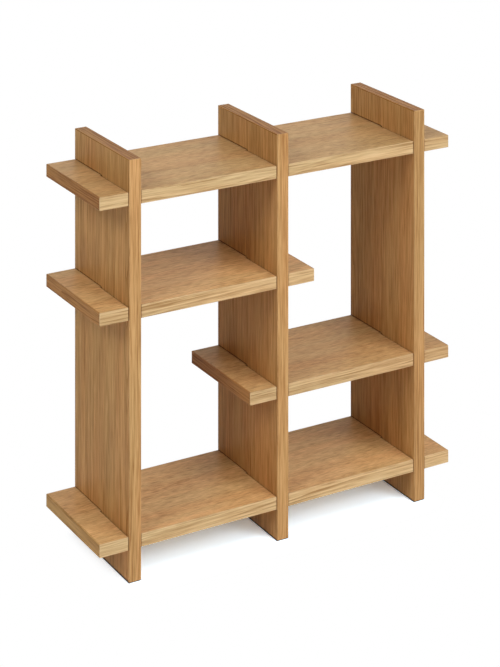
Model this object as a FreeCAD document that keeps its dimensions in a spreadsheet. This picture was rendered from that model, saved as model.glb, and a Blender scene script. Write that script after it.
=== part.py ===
import FreeCAD, Part
import os
import Sketcher

# Slot-together oak bookshelf: three uprights and four shelves, halved into each other at every crossing.
# Each board is a core with a veneer on both faces and a solid lipping on all four edges.
# Millimetres. +X runs to the right along the shelves, +Y to the rear, +Z up.
# The origin lies on the floor, under the middle of the bookshelf.

SIZES = [
    # Boards
    ("board_depth", 240.0),
    ("upright_thickness", 25.0),
    ("shelf_thickness", 25.0),
    ("veneer_thickness", 0.6),
    ("lipping_thickness", 2.0),
    ("edge_easing", 0.8),
    # Layout
    ("bay_width", 301.0),
    ("bay_height", 192.0),
    ("side_overhang", 61.5),
    ("inner_overhang", 61.0),
    ("upright_rise", 62.0),
    ("foot_clearance", 62.0),
    ("shelf_setback", 2.0),
    # Halving joints
    ("slot_top_clearance", 1.2),
    ("notch_side_clearance", 0.8),
    ("lap_end_clearance", 0.4),
    ("relief_radius", 3.0),
    # Felt pads under the uprights
    ("pad_diameter", 18.0),
    ("pad_thickness", 1.6),
    ("pad_inset", 12.0),
]

# The most of a lipping's thickness that its rounded edge may take
MOST_EASING = 0.9

# Places and lengths that follow from the sizes
LAYOUT = [
    ("level_pitch", "sizes.bay_height + sizes.shelf_thickness"),
    ("bottom_z", "sizes.foot_clearance"),
    ("lower_right_z", "bottom_z + level_pitch"),
    ("upper_left_z", "lower_right_z + level_pitch"),
    ("top_z", "upper_left_z + level_pitch"),
    ("upright_height", "top_z + sizes.shelf_thickness + sizes.upright_rise - sizes.pad_thickness"),
    ("front_y", "-(sizes.board_depth + sizes.shelf_setback) / 2"),
    ("shelf_front_y", "front_y + sizes.shelf_setback"),
    ("lap_line", "(sizes.board_depth + sizes.shelf_setback) / 2"),
    ("notch_length", "lap_line - sizes.shelf_setback + sizes.lap_end_clearance"),
    ("notch_width", "sizes.upright_thickness + 2 * sizes.notch_side_clearance"),
    ("slot_height", "sizes.shelf_thickness + sizes.slot_top_clearance"),
    ("relief_offset", "sizes.relief_radius / sqrt(2)"),
    ("upright_pitch", "sizes.bay_width + sizes.upright_thickness"),
    ("middle_x", "-sizes.upright_thickness / 2"),
    ("left_x", "middle_x - upright_pitch"),
    ("right_x", "middle_x + upright_pitch"),
    ("shelf_left_x", "left_x - sizes.side_overhang"),
    ("shelf_inner_x", "middle_x - sizes.inner_overhang"),
    ("long_length", "2 * (upright_pitch + sizes.side_overhang) + sizes.upright_thickness"),
    ("short_length", "upright_pitch + sizes.upright_thickness + sizes.side_overhang + sizes.inner_overhang"),
    ("easing_radius", f"min(sizes.edge_easing; {MOST_EASING} * sizes.lipping_thickness)"),
]

# Each upright: its left face, and the shelves that it carries
UPRIGHTS = {
    "left": ("layout.left_x", ("bottom", "upper_left", "top")),
    "middle": ("layout.middle_x", ("bottom", "lower_right", "upper_left", "top")),
    "right": ("layout.right_x", ("bottom", "lower_right", "top")),
}

# Each shelf: its left end, its length, and the uprights that it crosses
SHELVES = {
    "top": ("layout.shelf_left_x", "layout.long_length", ("left", "middle", "right")),
    "upper_left": ("layout.shelf_left_x", "layout.short_length", ("left", "middle")),
    "lower_right": ("layout.shelf_inner_x", "layout.short_length", ("middle", "right")),
    "bottom": ("layout.shelf_left_x", "layout.long_length", ("left", "middle", "right")),
}

# Lengths and volumes closer than this are the same
TOLERANCE = 1e-6

document = FreeCAD.newDocument("spine_bookshelf")
pieces = []


def fill_sheet(name, rows):
    """A sheet with one named cell for each row."""
    sheet = document.addObject("Spreadsheet::Sheet", name)
    for row, (alias, content) in enumerate(rows, start=1):
        sheet.set(f"A{row}", alias)
        sheet.set(f"B{row}", content)
        sheet.setAlias(f"B{row}", alias)
    document.recompute()


def bind_place(target, place):
    """Ties an object's position to three expressions."""
    for axis, expression in zip("xyz", place):
        target.setExpression(f"Placement.Base.{axis}", expression)


def new_body(label, place):
    """An empty piece, whose own origin is the lower front left corner of its board."""
    body = document.addObject("PartDesign::Body", label)
    body.Label = label
    bind_place(body, place)
    pieces.append(body)
    return body


def add_block(body, corner, extent):
    """A rectangular block in the board's own axes, from its lower corner and its three sizes."""
    block = body.newObject("PartDesign::AdditiveBox", f"{body.Name}_block")
    for size, expression in zip(("Length", "Width", "Height"), extent):
        block.setExpression(size, expression)
    bind_place(block, corner)
    document.recompute()
    return block


def ease_edges(body, block, glued):
    """Rounds the edges of a lipping, apart from those that lie on its glued faces."""
    box = block.Shape.BoundBox
    planes = {
        "front": ("y", box.YMin),
        "rear": ("y", box.YMax),
        "left": ("x", box.XMin),
        "right": ("x", box.XMax),
        "bottom": ("z", box.ZMin),
        "top": ("z", box.ZMax),
    }
    free_edges = []
    for number, edge in enumerate(block.Shape.Edges, start=1):
        middle = edge.CenterOfMass
        gaps = [abs(getattr(middle, axis) - level) for axis, level in (planes[face] for face in glued)]
        if min(gaps) > TOLERANCE:
            free_edges.append(f"Edge{number}")
    easing = body.newObject("PartDesign::Fillet", f"{body.Name}_easing")
    easing.Base = (block, free_edges)
    easing.setExpression("Radius", "layout.easing_radius")
    document.recompute()


def new_sketch(body, role, name):
    """A sketch on one of the piece's own base planes."""
    plane = next(feature for feature in body.Origin.OriginFeatures if feature.Role == role)
    sketch = body.newObject("Sketcher::SketchObject", f"{body.Name}_{name}")
    sketch.AttachmentSupport = (plane, [""])
    sketch.MapMode = "FlatFace"
    return sketch


def bind_dimension(sketch, kind, where, expression):
    """One dimension of a sketch, tied to an expression."""
    number = sketch.addConstraint(Sketcher.Constraint(kind, *where, 1.0))
    sketch.setExpression(f"Constraints[{number}]", expression)


def draw_rectangle(sketch, across, up, width, height):
    """A rectangle, drawn as a unit square and then tied to its lower left corner and its two sizes."""
    points = [FreeCAD.Vector(*point, 0) for point in ((1, 1), (2, 1), (2, 2), (1, 2))]
    ends = points[1:] + points[:1]
    first = sketch.GeometryCount
    lines = range(first, first + len(points))
    for start, end in zip(points, ends):
        sketch.addGeometry(Part.LineSegment(start, end), False)
    for line, following in zip(lines, [*lines[1:], first]):
        sketch.addConstraint(Sketcher.Constraint("Coincident", line, 2, following, 1))
    for line, direction in zip(lines, ("Horizontal", "Vertical", "Horizontal", "Vertical")):
        sketch.addConstraint(Sketcher.Constraint(direction, line))
    bind_dimension(sketch, "DistanceX", (-1, 1, first, 1), across)
    bind_dimension(sketch, "DistanceY", (-1, 1, first, 1), up)
    bind_dimension(sketch, "DistanceX", (first, 1, first, 2), width)
    bind_dimension(sketch, "DistanceY", (first + 1, 1, first + 1, 2), height)


def draw_circle(sketch, across, up, radius):
    """A circle, drawn with a unit radius and then tied to its centre and its radius."""
    upward = FreeCAD.Vector(0, 0, 1)
    circle = sketch.addGeometry(Part.Circle(FreeCAD.Vector(1, 1, 0), upward, 1.0), False)
    bind_dimension(sketch, "DistanceX", (-1, 1, circle, 3), across)
    bind_dimension(sketch, "DistanceY", (-1, 1, circle, 3), up)
    bind_dimension(sketch, "Radius", (circle,), radius)


def cut_through(body, sketch, name):
    """Cuts a sketch through the whole piece, on the side where the piece lies."""
    before = body.Tip.Shape.Volume
    pocket = body.newObject("PartDesign::Pocket", f"{body.Name}_{name}")
    pocket.Profile = sketch
    pocket.Type = "ThroughAll"
    pocket.Reversed = True
    document.recompute()
    if not pocket.Shape.Volume < before - TOLERANCE:
        raise RuntimeError(f"{pocket.Name} cuts nothing")


def cut_upright(body, levels, with_reliefs):
    """Slots from the rear edge to the lap line, one for each shelf, with rounded-out inner corners."""
    slots = new_sketch(body, "YZ_Plane", "slot_sketch")
    for level in levels:
        floor = f"layout.{level}_z - sizes.pad_thickness"
        reach = "sizes.board_depth - layout.lap_line"
        draw_rectangle(slots, "layout.lap_line", floor, reach, "layout.slot_height")
    cut_through(body, slots, "slots")
    if with_reliefs:
        reliefs = new_sketch(body, "YZ_Plane", "relief_sketch")
        for level in levels:
            floor = f"layout.{level}_z - sizes.pad_thickness"
            inner = "layout.lap_line + layout.relief_offset"
            roof = f"{floor} + layout.slot_height - layout.relief_offset"
            draw_circle(reliefs, inner, f"{floor} + layout.relief_offset", "sizes.relief_radius")
            draw_circle(reliefs, inner, roof, "sizes.relief_radius")
        cut_through(body, reliefs, "reliefs")


def cut_shelf(body, shelf_x, crossings, with_reliefs):
    """Notches from the front edge to the lap line, one for each upright, with rounded-out inner corners."""
    notches = new_sketch(body, "XY_Plane", "notch_sketch")
    for crossing in crossings:
        left = f"{UPRIGHTS[crossing][0]} - sizes.notch_side_clearance - {shelf_x}"
        draw_rectangle(notches, left, "0", "layout.notch_width", "layout.notch_length")
    cut_through(body, notches, "notches")
    if with_reliefs:
        reliefs = new_sketch(body, "XY_Plane", "relief_sketch")
        for crossing in crossings:
            left = f"{UPRIGHTS[crossing][0]} - sizes.notch_side_clearance - {shelf_x}"
            inner = "layout.notch_length - layout.relief_offset"
            far = f"{left} + layout.notch_width - layout.relief_offset"
            draw_circle(reliefs, f"{left} + layout.relief_offset", inner, "sizes.relief_radius")
            draw_circle(reliefs, far, inner, "sizes.relief_radius")
        cut_through(body, reliefs, "reliefs")


def make_lipping(label, place, corner, extent, glued):
    """A solid strip along one edge of a board, eased where it shows."""
    body = new_body(label, place)
    block = add_block(body, corner, extent)
    ease_edges(body, block, glued)
    return body


def make_upright(side, left_face, levels):
    """Core, face veneers and lippings of one upright, slotted from the rear."""
    name = f"{side}_upright"
    place = (left_face, "layout.front_y", "sizes.pad_thickness")
    veneer = "sizes.veneer_thickness"
    lip = "sizes.lipping_thickness"
    thick = "sizes.upright_thickness"
    inner_depth = f"sizes.board_depth - 2 * {lip}"
    inner_height = f"layout.upright_height - 2 * {lip}"

    layers = {
        "core": (veneer, f"{thick} - 2 * {veneer}"),
        "left_veneer": ("0", veneer),
        "right_veneer": (f"{thick} - {veneer}", veneer),
    }
    for layer, (offset, layer_thickness) in layers.items():
        body = new_body(f"{name}_{layer}", place)
        add_block(body, (offset, lip, lip), (layer_thickness, inner_depth, inner_height))
        cut_upright(body, levels, with_reliefs=True)

    edge_extent = (thick, lip, "layout.upright_height")
    make_lipping(f"{name}_front_lipping", place, ("0", "0", "0"), edge_extent, ["rear"])
    rear_corner = ("0", f"sizes.board_depth - {lip}", "0")
    rear = make_lipping(f"{name}_rear_lipping", place, rear_corner, edge_extent, ["front"])
    cut_upright(rear, levels, with_reliefs=False)

    cap_extent = (thick, inner_depth, lip)
    top_corner = ("0", lip, f"layout.upright_height - {lip}")
    make_lipping(f"{name}_top_lipping", place, top_corner, cap_extent, ["bottom", "front", "rear"])
    make_lipping(f"{name}_foot_lipping", place, ("0", lip, "0"), cap_extent, ["top", "front", "rear"])


def make_pads(side, left_face):
    """Two round felt pads under one upright, near its front and rear."""
    body = new_body(f"{side}_upright_pads", (left_face, "layout.front_y", "0"))
    outline = new_sketch(body, "XY_Plane", "outline")
    centre = "sizes.upright_thickness / 2"
    radius = "sizes.pad_diameter / 2"
    from_edge = f"sizes.pad_inset + {radius}"
    draw_circle(outline, centre, from_edge, radius)
    draw_circle(outline, centre, f"sizes.board_depth - ({from_edge})", radius)
    felt = body.newObject("PartDesign::Pad", f"{body.Name}_felt")
    felt.Profile = outline
    felt.setExpression("Length", "sizes.pad_thickness")
    document.recompute()


def make_shelf(level, left_end, length, crossings):
    """Core, face veneers and lippings of one shelf, notched from the front."""
    name = f"{level}_shelf"
    place = (left_end, "layout.shelf_front_y", f"layout.{level}_z")
    veneer = "sizes.veneer_thickness"
    lip = "sizes.lipping_thickness"
    thick = "sizes.shelf_thickness"
    inner_length = f"{length} - 2 * {lip}"
    inner_depth = f"sizes.board_depth - 2 * {lip}"

    layers = {
        "core": (veneer, f"{thick} - 2 * {veneer}"),
        "lower_veneer": ("0", veneer),
        "upper_veneer": (f"{thick} - {veneer}", veneer),
    }
    for layer, (offset, layer_thickness) in layers.items():
        body = new_body(f"{name}_{layer}", place)
        add_block(body, (lip, lip, offset), (inner_length, inner_depth, layer_thickness))
        cut_shelf(body, left_end, crossings, with_reliefs=True)

    edge_extent = (length, lip, thick)
    front = make_lipping(f"{name}_front_lipping", place, ("0", "0", "0"), edge_extent, ["rear"])
    cut_shelf(front, left_end, crossings, with_reliefs=False)
    rear_corner = ("0", f"sizes.board_depth - {lip}", "0")
    make_lipping(f"{name}_rear_lipping", place, rear_corner, edge_extent, ["front"])

    end_extent = (lip, inner_depth, thick)
    right_corner = (f"{length} - {lip}", lip, "0")
    make_lipping(f"{name}_left_lipping", place, ("0", lip, "0"), end_extent, ["right", "front", "rear"])
    make_lipping(f"{name}_right_lipping", place, right_corner, end_extent, ["left", "front", "rear"])


def check_pieces():
    """Stops if anything in the document failed, or a piece has no sound shape."""
    for item in document.Objects:
        if "Invalid" in item.State or "Error" in item.State:
            raise RuntimeError(f"{item.Name} failed: {item.State}")
    for body in pieces:
        if body.Shape.isNull() or not body.Shape.isValid() or not body.Shape.Solids:
            raise RuntimeError(f"{body.Label} has no sound shape")


fill_sheet("sizes", [(alias, str(value)) for alias, value in SIZES])
fill_sheet("layout", [(alias, f"={formula}") for alias, formula in LAYOUT])

for upright_side, (face, carried) in UPRIGHTS.items():
    make_upright(upright_side, face, carried)
    make_pads(upright_side, face)
for shelf_level, (end, span, crossed) in SHELVES.items():
    make_shelf(shelf_level, end, span, crossed)

document.recompute()
check_pieces()
os.makedirs("parts", exist_ok=True)
for piece in pieces:
    piece.Shape.exportStep(f"parts/{piece.Label}.step")
    print(piece.Label, len(piece.Shape.Solids), round(piece.Shape.Volume, 1))
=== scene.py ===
"""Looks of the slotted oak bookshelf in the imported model's frame: metres, +X right, +Y rear, +Z up."""

import math
from collections import namedtuple

import bpy
from mathutils import Matrix, Vector


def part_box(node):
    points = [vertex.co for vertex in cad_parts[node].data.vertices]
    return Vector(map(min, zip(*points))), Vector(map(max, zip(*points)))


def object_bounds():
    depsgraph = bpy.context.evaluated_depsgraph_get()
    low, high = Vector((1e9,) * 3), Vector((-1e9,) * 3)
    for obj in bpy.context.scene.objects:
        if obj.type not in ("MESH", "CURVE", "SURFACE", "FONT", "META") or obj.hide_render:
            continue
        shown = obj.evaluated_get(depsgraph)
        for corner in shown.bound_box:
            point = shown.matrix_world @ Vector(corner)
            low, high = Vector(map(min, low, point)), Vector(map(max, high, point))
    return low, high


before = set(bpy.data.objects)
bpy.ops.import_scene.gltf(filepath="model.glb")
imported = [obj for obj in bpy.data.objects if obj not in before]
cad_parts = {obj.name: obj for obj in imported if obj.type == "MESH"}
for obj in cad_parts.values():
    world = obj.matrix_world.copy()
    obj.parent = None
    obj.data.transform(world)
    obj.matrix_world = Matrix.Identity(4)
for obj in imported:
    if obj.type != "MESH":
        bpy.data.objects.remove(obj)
cad_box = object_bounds()

# The camera that was fitted to the edges in the picture, whose rows and focal length are in pixels
IMAGE_HEIGHT = 667
HORIZON_ROW = -480.19
LEVEL_FOCAL_PX = 2092.3
SENSOR_MM = 36.0
CAMERA_PLACE = Vector((-2.1260, -3.6522, 2.0083))
CAMERA_YAW = math.radians(-30.145)
VIEW_END = 100.0

# Square soft boxes: azimuth (0 in front of the bookshelf, 90 to its right), elevation, side (m) and watts
LAMP_DISTANCE = 6.0
LAMPS = {
    "front_soft_box": (0.0, 40.0, 5.0, 218.0),
    "right_key": (30.0, 25.0, 2.2, 110.0),
    "left_fill": (-70.0, 40.0, 2.2, 117.0),
    "right_fill": (112.0, 12.0, 3.0, 50.0),
    "rear_fill": (150.0, 12.0, 3.0, 22.0),
}

# The white round the bookshelf, as the camera or a reflection sees it and as it lights everything else
WHITE = (1.0, 1.0, 1.0, 1.0)
WHITE_LIGHT = 1.0
WORLD_LIGHT = 0.08

# The floor: its half width, its paper, and the paper as it burns out to white in the picture
FLOOR_HALF = 14.0
PAPER = (0.85, 0.85, 0.85, 1.0)
BURNT_PAPER = (0.70, 0.86, 1.0, 1.0)
BURNT_GLOW = 0.14

# The floor's shaded part, how far past it the shade fades to white (m), and the painted contact shadow at
# the feet
SHADE_BOX = (Vector((-0.31, -0.11, 0.0)), Vector((0.31, 0.09, 0.0)))
SHADE_FADE = 0.06
CONTACT_SHADE = (0.11, 0.10, 0.09, 1.0)
CONTACT_WIDTH = 0.002

# Oak of each kind of piece: middle colour, growth ring (m), and how strongly rings, streaks and flecks show
Oak = namedtuple("Oak", "colour ring rings streaks flecks")
UPRIGHT_FACE = Oak((0.519, 0.271, 0.094), 0.0038, 0.30, 1.2, 0.0)
UPRIGHT_EDGE = Oak((0.470, 0.260, 0.101), 0.0054, 0.45, 1.15, 0.0)
UPRIGHT_END = Oak((0.328, 0.142, 0.032), 0.0064, 1.05, 1.8, 0.0)
SHELF_FACE = Oak((0.552, 0.322, 0.135), 0.0036, 0.16, 1.2, 0.10)
# The shelves' long edges are paler than the uprights' by a painted sheen of their level grain in light from
# above
SHELF_EDGE = Oak((0.526, 0.343, 0.167), 0.0052, 0.52, 1.2, 0.0)
SHELF_END = Oak((0.378, 0.166, 0.047), 0.0064, 1.05, 1.8, 0.0)
# The bottom shelf's ends are paler than the other shelves' ends by painted light from near the floor
BOTTOM_SHELF_END = Oak((0.515, 0.278, 0.092), 0.0062, 0.45, 0.8, 0.0)

# Where faces, long edges and ends stand among a board's tones and oaks
FACE, EDGE, END = range(3)

# Painted light and shade: the share of its kind's colour that each board's faces, long edges and ends have
BOARD_PAINTED_LIGHT = {
    "left_upright": (1.00, 1.00, 1.00),
    "middle_upright": (0.95, 1.03, 1.00),
    "right_upright": (0.96, 0.93, 1.00),
    "top_shelf": (1.00, 1.01, 0.97),
    "upper_left_shelf": (1.14, 1.04, 1.02),
    "lower_right_shelf": (1.01, 0.97, 0.99),
    "bottom_shelf": (1.15, 1.06, 1.00),
}

# The middle colour's share in the lines of early wood and in the palest late wood
EARLY_WOOD = (0.66, 0.57, 0.47)
LATE_WOOD = (1.26, 1.36, 1.50)

# The colour's share in greyer and in warmer patches
GREYER = (0.97, 1.018, 1.025, 1.0)
WARMER = (1.03, 0.98, 0.95, 1.0)

# Noises of the oak: waves per metre along, across and into the grain, and detail
Noise = namedtuple("Noise", "waves detail")
WANDER = Noise((2.2, 7.0, 7.0), 1.0)
BEND = Noise((1.1, 3.0, 3.0), 1.0)
SWELL = Noise((2.4, 9.0, 9.0), 1.0)
UNEVEN = Noise((1.6, 26.0, 26.0), 3.0)
EARLY_PATCHES = Noise((3.0, 75.0, 75.0), 1.0)
PORES = Noise((38.0, 1500.0, 1500.0), 1.0)
FLECKS = Noise((48.0, 240.0, 240.0), 1.0)
WARMTH = Noise((2.0, 20.0, 20.0), 3.0)

# How far those noises carry the grain and the rings' centre (m), and how many rings they add
WANDER_REACH = 0.012
BEND_REACH = 0.05
SWELL_REACH = 0.010
UNEVEN_RINGS = 5.0

# The stretches of those noises that count, and for patches of early wood the strengths that they stand for
EARLY_PATCH_RANGE = (0.3, 0.7, 0.25, 1.65)
PORE_RANGE = (0.56, 0.70)
FLECK_RANGE = (0.60, 0.74)
WARMTH_RANGE = (0.3, 0.7)

# Tone layers of plain oak, and of the flecked oak of the shelves' faces: share of the tone, and noise
PLAIN_LAYERS = (
    (0.40, Noise((2.0, 17.0, 17.0), 2.0)),
    (0.75, Noise((4.5, 105.0, 105.0), 2.0)),
    (1.45, Noise((11.0, 350.0, 350.0), 2.0)),
    (0.80, Noise((30.0, 800.0, 800.0), 1.0)),
)
FLECKED_LAYERS = (
    (0.55, Noise((3.0, 14.0, 14.0), 2.0)),
    (0.30, Noise((8.0, 70.0, 70.0), 2.0)),
    (0.72, Noise((30.0, 190.0, 190.0), 2.0)),
    (1.25, Noise((58.0, 550.0, 550.0), 1.0)),
)

# The oak's tone, from 0 in early wood to 1 in late wood, the mean of its rings, and what pores take off
MIDDLE_TONE = 0.54
MEAN_RING = 0.31
PORE_TONE = -0.22

# How sharply early wood fades over a ring, and the share of the pores that late wood keeps
EARLY_SHARPNESS = 2.2
LATE_PORES = 0.25

# The centre of the growth rings: least way from the board's middle, spread, depth below the face (m), lean
Heart = namedtuple("Heart", "least spread below lean")
VENEER_HEART = Heart(0.09, 0.10, 0.05, 0.04)
LIPPING_HEART = Heart(0.06, 0.05, 0.05, 0.02)

# What sets the wood of one piece apart from the next: its own stretch (m), and steps of its ring centre
OWN_STRETCH = Vector((3.7, 1.3, 2.9))
SPREAD_STEP = 0.618
TOWARD_STEP = 0.37

# Wear and painted highlight on arrises: how far in they are full and end (m), their patches, how far they
# pale
WEAR_AND_HIGHLIGHT_FULL = 0.0004
WEAR_AND_HIGHLIGHT_ENDS = 0.0022
WEAR_AND_HIGHLIGHT_PATCHES = Noise((45.0, 45.0, 45.0), 3.0)
WEAR_AND_HIGHLIGHT_RANGE = (0.30, 0.65)
WEAR_AND_HIGHLIGHT_PALENESS = 0.6

# Rim shade: how far from the crossing board it is full and ends (m), its strength in front and behind
Rim = namedtuple("Rim", "full ends front rear")
SLOT_RIM = Rim(0.0016, 0.0038, 0.0, 1.0)
NOTCH_RIM = Rim(0.0008, 0.0028, 0.95, 0.0)
HALFWAY_BLUR = 0.004
SLOT_END_FULL = 0.0012
SLOT_END_ENDS = 0.0036
RIM_SHADE = (0.30, 0.20, 0.13, 1.0)

# Satin finish of the oak: roughness and what adds to it, heights, and the relief's strength and depth
OAK_ROUGH = 0.46
EARLY_ROUGH = 0.08
PORE_ROUGH = 0.12
WORN_ROUGH = -0.05
EARLY_HEIGHT = -0.35
PORE_HEIGHT = -1.0
OAK_RELIEF = (0.35, 0.00012)
OAK_SPECULAR = 0.08

# Raw pressed board: noises, their shares of the tone, colours, roughness and relief
CHIPS = Noise((260.0, 260.0, 420.0), 3.0)
DUST = Noise((1800.0, 1800.0, 1800.0), 2.0)
CHIP_TONE = 0.75
DUST_TONE = 0.35
RAW_COLOURS = ((0.22, 0.135, 0.070), (0.40, 0.27, 0.15), (0.55, 0.40, 0.25))
RAW_ROUGH = 0.78
CHIP_ROUGH = 0.15
RAW_RELIEF = (0.6, 0.0003)

# Felt: noises, their shares of the tone, colours, roughness, relief and sheen
FIBRES = Noise((900.0, 900.0, 2400.0), 4.0)
CLOUDS = Noise((160.0, 160.0, 160.0), 2.0)
FIBRE_TONE = 0.6
CLOUD_TONE = 0.4
FELT_COLOURS = ((0.05, 0.038, 0.030), (0.14, 0.11, 0.09), (0.26, 0.21, 0.17))
FELT_ROUGH = 0.88
FIBRE_ROUGH = 0.1
FELT_RELIEF = (0.8, 0.0004)
FELT_SHEEN = 0.4

# Each kind of board: grain axis and show face of its pieces, oak of faces, long edges and ends, and rims
BoardKind = namedtuple("BoardKind", "axes oaks rim")
UPRIGHT = BoardKind(
    {
        "left_veneer": "ZX",
        "right_veneer": "ZX",
        "front_lipping": "ZY",
        "rear_lipping": "ZY",
        "top_lipping": "YZ",
        "foot_lipping": "YZ",
    },
    (UPRIGHT_FACE, UPRIGHT_EDGE, UPRIGHT_END),
    SLOT_RIM,
)
SHELF = BoardKind(
    {
        "lower_veneer": "XZ",
        "upper_veneer": "XZ",
        "front_lipping": "XY",
        "rear_lipping": "XY",
        "left_lipping": "YX",
        "right_lipping": "YX",
    },
    (SHELF_FACE, SHELF_EDGE, SHELF_END),
    NOTCH_RIM,
)
# The bottom shelf takes the paler end oak, with its painted light
BOTTOM_SHELF = SHELF._replace(oaks=(SHELF_FACE, SHELF_EDGE, BOTTOM_SHELF_END))

# A board of the bookshelf: its kind, its painted light and shade, its box, and the boxes of the boards that
# it is halved into
Board = namedtuple("Board", "kind tones box crossing")

# Farther from a box than any shade reaches (m)
FAR = 1.0


class Graph:
    """The cleared node tree of a material or world. Most methods add nodes and return an output."""

    def __init__(self, owner):
        self.owner = owner
        owner.use_nodes = True
        self.nodes = owner.node_tree.nodes
        self.links = owner.node_tree.links
        self.nodes.clear()

    def put(self, socket, value):
        if isinstance(value, bpy.types.NodeSocket):
            self.links.new(value, socket)
        else:
            socket.default_value = value

    def add(self, kind, *values, **settings):
        """A new node with these settings, whose first inputs take the values."""
        node = self.nodes.new("ShaderNode" + kind)
        for name, setting in settings.items():
            setattr(node, name, setting)
        for socket, value in zip(node.inputs, values):
            self.put(socket, value)
        return node

    def place(self):
        return self.add("TexCoord").outputs["Object"]

    def math(self, operation, *values):
        return self.add("Math", *values, operation=operation).outputs[0]

    def vector(self, operation, *values):
        return self.add("VectorMath", *values, operation=operation).outputs["Vector"]

    def length(self, vector):
        return self.add("VectorMath", vector, operation="LENGTH").outputs["Value"]

    def split(self, vector):
        return dict(zip("XYZ", self.add("SeparateXYZ", vector).outputs))

    def join(self, *values):
        return self.add("CombineXYZ", *values).outputs[0]

    def past(self, place, low, high):
        """How far a place lies past the faces of a box along each axis, less than nothing inside it."""
        middle, half = (low + high) / 2, (high - low) / 2
        away = self.vector("ABSOLUTE", self.vector("SUBTRACT", place, middle))
        return self.vector("SUBTRACT", away, half)

    def from_box(self, place, low, high):
        """How far a place lies from the surface of a box, outside or inside it."""
        past = self.past(place, low, high)
        outside = self.length(self.vector("MAXIMUM", past, (0.0, 0.0, 0.0)))
        part = self.split(past)
        deepest = self.math("MAXIMUM", self.math("MAXIMUM", part["X"], part["Y"]), part["Z"])
        return self.math("SUBTRACT", outside, self.math("MINIMUM", deepest, 0.0))

    def from_boxes(self, place, boxes):
        """How far a place lies from the surface of the nearest box."""
        nearest = FAR
        for box in boxes:
            nearest = self.math("MINIMUM", nearest, self.from_box(place, *box))
        return nearest

    def noise(self, place, noise):
        node = self.add("TexNoise", self.vector("MULTIPLY", place, noise.waves))
        node.inputs["Scale"].default_value = 1.0
        node.inputs["Detail"].default_value = noise.detail
        return node.outputs["Fac"]

    def swing(self, place, noise):
        """Noise about zero."""
        return self.math("SUBTRACT", self.noise(place, noise), 0.5)

    def fit(self, value, low, high, to_low=0.0, to_high=1.0):
        """The value carried smoothly from one range to another, and kept in it."""
        node = self.add("MapRange", value, low, high, to_low, to_high, interpolation_type="SMOOTHSTEP")
        return node.outputs[0]

    def ramp(self, value, colours):
        """Evenly spaced colours from 0 to 1."""
        node = self.add("ValToRGB", value)
        stops = node.color_ramp.elements
        while len(stops) < len(colours):
            stops.new(0.5)
        for number, colour in enumerate(colours):
            stops[number].position = number / (len(colours) - 1)
            stops[number].color = (*colour, 1.0)
        return node.outputs[0]

    def blend(self, share, first, second, kind="MIX"):
        node = self.add("Mix", data_type="RGBA", blend_type=kind)
        sockets = [socket for socket in node.inputs if socket.enabled]
        for socket, value in zip(sockets, (share, first, second)):
            self.put(socket, value)
        return next(socket for socket in node.outputs if socket.enabled)

    def bump(self, height, strength, depth):
        node = self.add("Bump")
        node.inputs["Strength"].default_value = strength
        node.inputs["Distance"].default_value = depth
        self.put(node.inputs["Height"], height)
        return node.outputs[0]

    def light_path(self):
        return self.add("LightPath").outputs

    def mirrored(self, path):
        """Whether a ray comes from a reflection or through something clear."""
        return self.math("MAXIMUM", path["Is Glossy Ray"], path["Is Transmission Ray"])

    def shader(self, kind, **values):
        """A shader whose sockets take the values; _ stands for a space in their names."""
        node = self.add(kind)
        for name, value in values.items():
            self.put(node.inputs[name.replace("_", " ")], value)
        return node.outputs[0]

    def pick(self, share, first, second):
        """The first shader, or by its share the second."""
        return self.add("MixShader", share, first, second).outputs[0]

    def plus(self, first, second):
        return self.add("AddShader", first, second).outputs[0]

    def end(self, shader, kind="Material"):
        """Ends the tree in this shader and returns its material or world."""
        node = self.add("Output" + kind)
        self.put(node.inputs["Surface"], shader)
        return self.owner


def scaled(colour, shares):
    """A colour with each channel brought to a share of itself."""
    return tuple(channel * share for channel, share in zip(colour, shares))


def third_axis(first, second):
    """The axis that is neither of two."""
    return next(axis for axis in "XYZ" if axis not in (first, second))


def early_wood(g, spot, along, across, ring, heart):
    """How much of the wood is early: most at the start of each growth ring, and more in some patches."""
    heart_across, below, lean = heart
    bent = g.math("MULTIPLY_ADD", g.swing(spot, BEND), BEND_REACH, g.math("ADD", across, -heart_across))
    sunk = g.math("MULTIPLY_ADD", along, lean, below)
    sunk = g.math("MULTIPLY_ADD", g.swing(spot, SWELL), SWELL_REACH, sunk)
    radius = g.length(g.join(bent, sunk, 0.0))
    rings = g.math("MULTIPLY_ADD", g.noise(spot, UNEVEN), UNEVEN_RINGS, g.math("DIVIDE", radius, ring))
    early = g.math("POWER", g.math("SUBTRACT", 1.0, g.math("FRACT", rings)), EARLY_SHARPNESS)
    return g.math("MULTIPLY", early, g.fit(g.noise(spot, EARLY_PATCHES), *EARLY_PATCH_RANGE))


def oak_colour(g, spot, wood, early, pores):
    """The colour of growth rings, streaks, pores and flecks, in greyer and warmer patches."""
    tone = g.math("MULTIPLY_ADD", early, -wood.rings, MIDDLE_TONE + MEAN_RING * wood.rings)
    layers = FLECKED_LAYERS if wood.flecks else PLAIN_LAYERS
    for amount, noise in layers:
        tone = g.math("MULTIPLY_ADD", g.swing(spot, noise), amount * wood.streaks, tone)
    tone = g.math("MULTIPLY_ADD", pores, PORE_TONE, tone)
    if wood.flecks:
        flecks = g.fit(g.noise(spot, FLECKS), *FLECK_RANGE)
        tone = g.math("MULTIPLY_ADD", flecks, wood.flecks, tone)
    colour = g.ramp(tone, (scaled(wood.colour, EARLY_WOOD), wood.colour, scaled(wood.colour, LATE_WOOD)))
    tint = g.blend(g.fit(g.noise(spot, WARMTH), *WARMTH_RANGE), GREYER, WARMER)
    return g.blend(1.0, colour, tint, "MULTIPLY")


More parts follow.
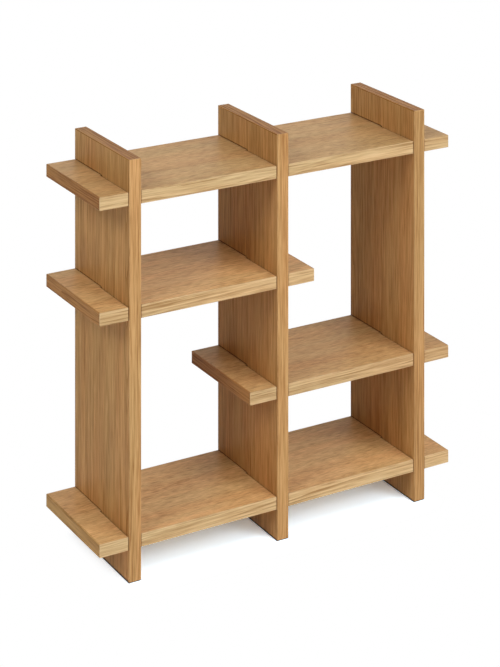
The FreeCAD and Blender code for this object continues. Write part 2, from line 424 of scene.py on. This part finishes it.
def arris_wear_and_highlight(g, place, box):
    """How much wear and painted highlight the wood has: in patches along the arrises, where two faces of
    the board are near.
    """
    past = g.split(g.past(place, *box))
    least = g.math("MINIMUM", past["X"], past["Y"])
    most = g.math("MAXIMUM", past["X"], past["Y"])
    second_nearest = g.math("MAXIMUM", least, g.math("MINIMUM", most, past["Z"]))
    worn_and_highlit = g.fit(second_nearest, -WEAR_AND_HIGHLIGHT_ENDS, -WEAR_AND_HIGHLIGHT_FULL)
    return g.math("MULTIPLY", worn_and_highlit, g.fit(g.noise(place, WEAR_AND_HIGHLIGHT_PATCHES), *WEAR_AND_HIGHLIGHT_RANGE))


def rim_shade(g, place, depth, crossing, rim):
    """How shaded the wood is along the rims of slots or notches, and at their ends halfway back."""
    nearest = g.from_boxes(place, crossing)
    strength = g.fit(depth, -HALFWAY_BLUR, HALFWAY_BLUR, rim.front, rim.rear)
    shade = g.math("MULTIPLY", g.fit(nearest, rim.ends, rim.full), strength)
    from_end = g.length(g.join(nearest, depth, 0.0))
    return g.math("MAXIMUM", shade, g.fit(from_end, SLOT_END_ENDS, SLOT_END_FULL))


def oak(name, wood, axes, board, heart, number):
    """Satin oak whose grain runs along the first of two axes and whose show face is square to the second.

    board is the one that the piece belongs to. heart is where the growth rings' centre lies across it and
    below the face, and how that depth leans along the grain. number sets the piece's own stretch of wood.
    """
    grain, face = axes
    side = third_axis(grain, face)
    g = Graph(bpy.data.materials.new(name))
    place = g.place()
    at = g.split(place)
    spot = g.vector("ADD", g.join(at[grain], at[side], at[face]), OWN_STRETCH * number)
    shift = g.math("MULTIPLY", g.swing(spot, WANDER), WANDER_REACH)
    spot = g.vector("ADD", spot, g.join(0.0, shift, 0.0))

    early = early_wood(g, spot, at[grain], at[side], wood.ring, heart)
    pores = g.fit(g.noise(spot, PORES), *PORE_RANGE)
    pores = g.math("MULTIPLY", pores, g.math("MULTIPLY_ADD", early, 1.0 - LATE_PORES, LATE_PORES))
    worn_and_highlit = arris_wear_and_highlight(g, place, board.box)
    colour = oak_colour(g, spot, wood, early, pores)
    # Along the arrises the wood pales by wear and by a painted highlight
    pale = (*scaled(wood.colour, LATE_WOOD), 1.0)
    colour = g.blend(g.math("MULTIPLY", worn_and_highlit, WEAR_AND_HIGHLIGHT_PALENESS), colour, pale)
    shade = rim_shade(g, place, at["Y"], board.crossing, board.kind.rim)
    colour = g.blend(shade, colour, g.blend(1.0, colour, RIM_SHADE, "MULTIPLY"))

    rough = g.math("MULTIPLY_ADD", early, EARLY_ROUGH, OAK_ROUGH)
    rough = g.math("MULTIPLY_ADD", pores, PORE_ROUGH, rough)
    rough = g.math("MULTIPLY_ADD", worn_and_highlit, WORN_ROUGH, rough)
    height = g.math("MULTIPLY_ADD", early, EARLY_HEIGHT, g.math("MULTIPLY", pores, PORE_HEIGHT))
    surface = g.shader(
        "BsdfPrincipled",
        Base_Color=colour,
        Roughness=rough,
        Normal=g.bump(height, *OAK_RELIEF),
        Specular_IOR_Level=OAK_SPECULAR,
    )
    return g.end(surface)


def raw_board(name):
    """Pressed board as it shows inside the slots: chips in a paler binder, unfinished."""
    g = Graph(bpy.data.materials.new(name))
    place = g.place()
    chips = g.noise(place, CHIPS)
    tone = g.math("MULTIPLY", chips, CHIP_TONE)
    tone = g.math("MULTIPLY_ADD", g.noise(place, DUST), DUST_TONE, tone)
    surface = g.shader(
        "BsdfPrincipled",
        Base_Color=g.ramp(tone, RAW_COLOURS),
        Roughness=g.math("MULTIPLY_ADD", chips, CHIP_ROUGH, RAW_ROUGH),
        Normal=g.bump(tone, *RAW_RELIEF),
    )
    return g.end(surface)


def felt(name):
    """Dark brown needled felt."""
    g = Graph(bpy.data.materials.new(name))
    place = g.place()
    fibres = g.noise(place, FIBRES)
    tone = g.math("MULTIPLY", fibres, FIBRE_TONE)
    tone = g.math("MULTIPLY_ADD", g.noise(place, CLOUDS), CLOUD_TONE, tone)
    surface = g.shader(
        "BsdfPrincipled",
        Base_Color=g.ramp(tone, FELT_COLOURS),
        Roughness=g.math("MULTIPLY_ADD", fibres, FIBRE_ROUGH, FELT_ROUGH),
        Normal=g.bump(fibres, *FELT_RELIEF),
        Sheen_Weight=FELT_SHEEN,
    )
    return g.end(surface)


def board_of(node):
    """The name of the board that a node belongs to, and the piece's name within it."""
    kind = "_upright" if "_upright_" in node else "_shelf"
    board, _, piece = node.partition(kind + "_")
    return board + kind, piece


def kind_of(board):
    """The kind of a board, by its name."""
    if board.endswith("_upright"):
        return UPRIGHT
    return BOTTOM_SHELF if board == "bottom_shelf" else SHELF


def box_of(nodes):
    """Lowest and highest corner of several nodes together."""
    corners = [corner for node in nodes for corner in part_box(node)]
    low = Vector(min(corner[axis] for corner in corners) for axis in range(3))
    high = Vector(max(corner[axis] for corner in corners) for axis in range(3))
    return low, high


def meet(first, second):
    """Whether two boxes overlap."""
    return all(first[0][i] < second[1][i] and second[0][i] < first[1][i] for i in range(3))


def read_boards():
    """Every board of the frame, by name. Its pads, which stand under it, are left out of its box."""
    nodes = {}
    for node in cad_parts:
        name, piece = board_of(node)
        if piece != "pads":
            nodes.setdefault(name, []).append(node)
    boxes = {name: box_of(group) for name, group in nodes.items()}
    boards = {}
    for name, box in boxes.items():
        crossing = [other for other in boxes.values() if other is not box and meet(other, box)]
        boards[name] = Board(kind_of(name), BOARD_PAINTED_LIGHT[name], box, crossing)
    return boards


def wood_of(board, piece):
    """The oak of a veneer or lipping, in its board's painted light and shade."""
    if piece.endswith("_veneer"):
        where = FACE
    elif piece in ("front_lipping", "rear_lipping"):
        where = EDGE
    else:
        where = END
    wood = board.kind.oaks[where]
    # The board's painted light and shade, as a share of its kind's colour
    tone = board.tones[where]
    return wood._replace(colour=scaled(wood.colour, (tone, tone, tone)))


def piece_share(number, step):
    """A share from 0 to 1 that differs from piece to piece and stays the same each run."""
    return (number * step) % 1.0


def heart_of(piece, axes, box, number):
    """Where the growth rings' centre lies across the board and below the face, and how that depth leans."""
    side = "XYZ".index(third_axis(*axes))
    middle = (box[0][side] + box[1][side]) / 2
    toward = 1
    heart = LIPPING_HEART
    if piece.endswith("_veneer"):
        toward = 1 if piece_share(number, TOWARD_STEP) < 0.5 else -1
        heart = VENEER_HEART
    away = heart.least + heart.spread * piece_share(number, SPREAD_STEP)
    return middle + toward * away, heart.below, toward * heart.lean


def dress():
    """Gives every node of the frame its own finish."""
    boards = read_boards()
    for number, node in enumerate(sorted(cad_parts)):
        name, piece = board_of(node)
        board = boards[name]
        if piece == "core":
            material = raw_board(node)
        elif piece == "pads":
            material = felt(node)
        else:
            axes = board.kind.axes[piece]
            heart = heart_of(piece, axes, board.box, number)
            material = oak(node, wood_of(board, piece), axes, board, heart, number)
        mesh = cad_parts[node].data
        mesh.materials.clear()
        mesh.materials.append(material)


def footprints():
    """Each foot's rectangle on the floor, as its lowest and highest corner."""
    level = cad_box[0].z
    feet = [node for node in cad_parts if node.endswith("_foot_lipping")]
    return [[Vector((corner.x, corner.y, level)) for corner in box_of([foot])] for foot in feet]


def floor_paper():
    """Paper that is burnt out to white in the picture, apart from the shade under the bookshelf."""
    g = Graph(bpy.data.materials.new("floor"))
    path = g.light_path()
    place = g.place()
    paper = g.shader("BsdfDiffuse", Color=PAPER)
    white = g.shader("Emission", Strength=WHITE_LIGHT)
    burnt = g.plus(g.shader("BsdfDiffuse", Color=BURNT_PAPER), g.shader("BsdfDiffuse", Color=BURNT_PAPER))
    burnt = g.plus(burnt, g.shader("Emission", Strength=BURNT_GLOW))
    shown = g.pick(g.fit(g.from_box(place, *SHADE_BOX), 0.0, SHADE_FADE), burnt, white)
    # A painted contact shadow: dark paper in each foot's footprint and just round it
    contact = g.fit(g.from_boxes(place, footprints()), CONTACT_WIDTH, 0.0)
    shown = g.pick(contact, shown, g.shader("BsdfDiffuse", Color=CONTACT_SHADE))
    unseen = g.pick(g.mirrored(path), paper, white)
    return g.end(g.pick(path["Is Camera Ray"], unseen, shown))


def add_to_scene(name, data):
    """A new object in the scene."""
    thing = bpy.data.objects.new(name, data)
    bpy.context.scene.collection.objects.link(thing)
    return thing


def add_floor():
    """A wide square floor under the bookshelf."""
    mesh = bpy.data.meshes.new("floor")
    half, level = FLOOR_HALF, cad_box[0].z
    corners = [(-half, -half, level), (half, -half, level), (half, half, level), (-half, half, level)]
    mesh.from_pydata(corners, [], [(0, 1, 2, 3)])
    floor = add_to_scene("floor", mesh)
    mesh.materials.append(floor_paper())


def add_world():
    """White where the camera or a reflection sees past the floor, and a dim even light everywhere else."""
    world = bpy.data.worlds.new("studio")
    bpy.context.scene.world = world
    g = Graph(world)
    path = g.light_path()
    shown = g.math("MAXIMUM", g.mirrored(path), path["Is Camera Ray"])
    dim = g.shader("Background", Color=WHITE, Strength=WORLD_LIGHT)
    white = g.shader("Background", Color=WHITE, Strength=WHITE_LIGHT)
    g.end(g.pick(shown, dim, white), "World")


def add_lamp(name, azimuth, elevation, side, watts):
    """A square soft box that faces the middle of the bookshelf."""
    turn, rise = math.radians(azimuth), math.radians(elevation)
    outward = Vector((math.sin(turn) * math.cos(rise), -math.cos(turn) * math.cos(rise), math.sin(rise)))
    data = bpy.data.lights.new(name, "AREA")
    data.size = side
    data.energy = watts
    lamp = add_to_scene(name, data)
    lamp.location = (cad_box[0] + cad_box[1]) / 2 + LAMP_DISTANCE * outward
    lamp.rotation_euler = (-outward).to_track_quat("-Z", "Y").to_euler()


def add_camera():
    """A view camera that looks down while its plate stays upright, so that verticals stay parallel."""
    drop = ((IMAGE_HEIGHT - 1) / 2 - HORIZON_ROW) / LEVEL_FOCAL_PX
    right = Vector((math.cos(CAMERA_YAW), math.sin(CAMERA_YAW), 0.0))
    up = Vector((0.0, 0.0, 1.0))
    level_back = Vector((math.sin(CAMERA_YAW), -math.cos(CAMERA_YAW), 0.0))
    back = (level_back + drop * up).normalized()
    data = bpy.data.cameras.new("camera")
    data.sensor_width = SENSOR_MM
    data.lens = LEVEL_FOCAL_PX * math.hypot(1.0, drop) / IMAGE_HEIGHT * SENSOR_MM
    data.clip_end = VIEW_END
    stand = add_to_scene("camera_stand", None)
    camera = add_to_scene("camera", data)
    camera.parent = stand
    turn = Matrix((right, up, back)).transposed().to_4x4()
    camera.matrix_parent_inverse = Matrix.Translation(CAMERA_PLACE) @ turn
    bpy.context.scene.camera = camera


dress()
add_floor()
add_world()
for lamp_name, lamp_values in LAMPS.items():
    add_lamp(lamp_name, *lamp_values)
add_camera()
bpy.context.scene.view_settings.view_transform = "Standard"
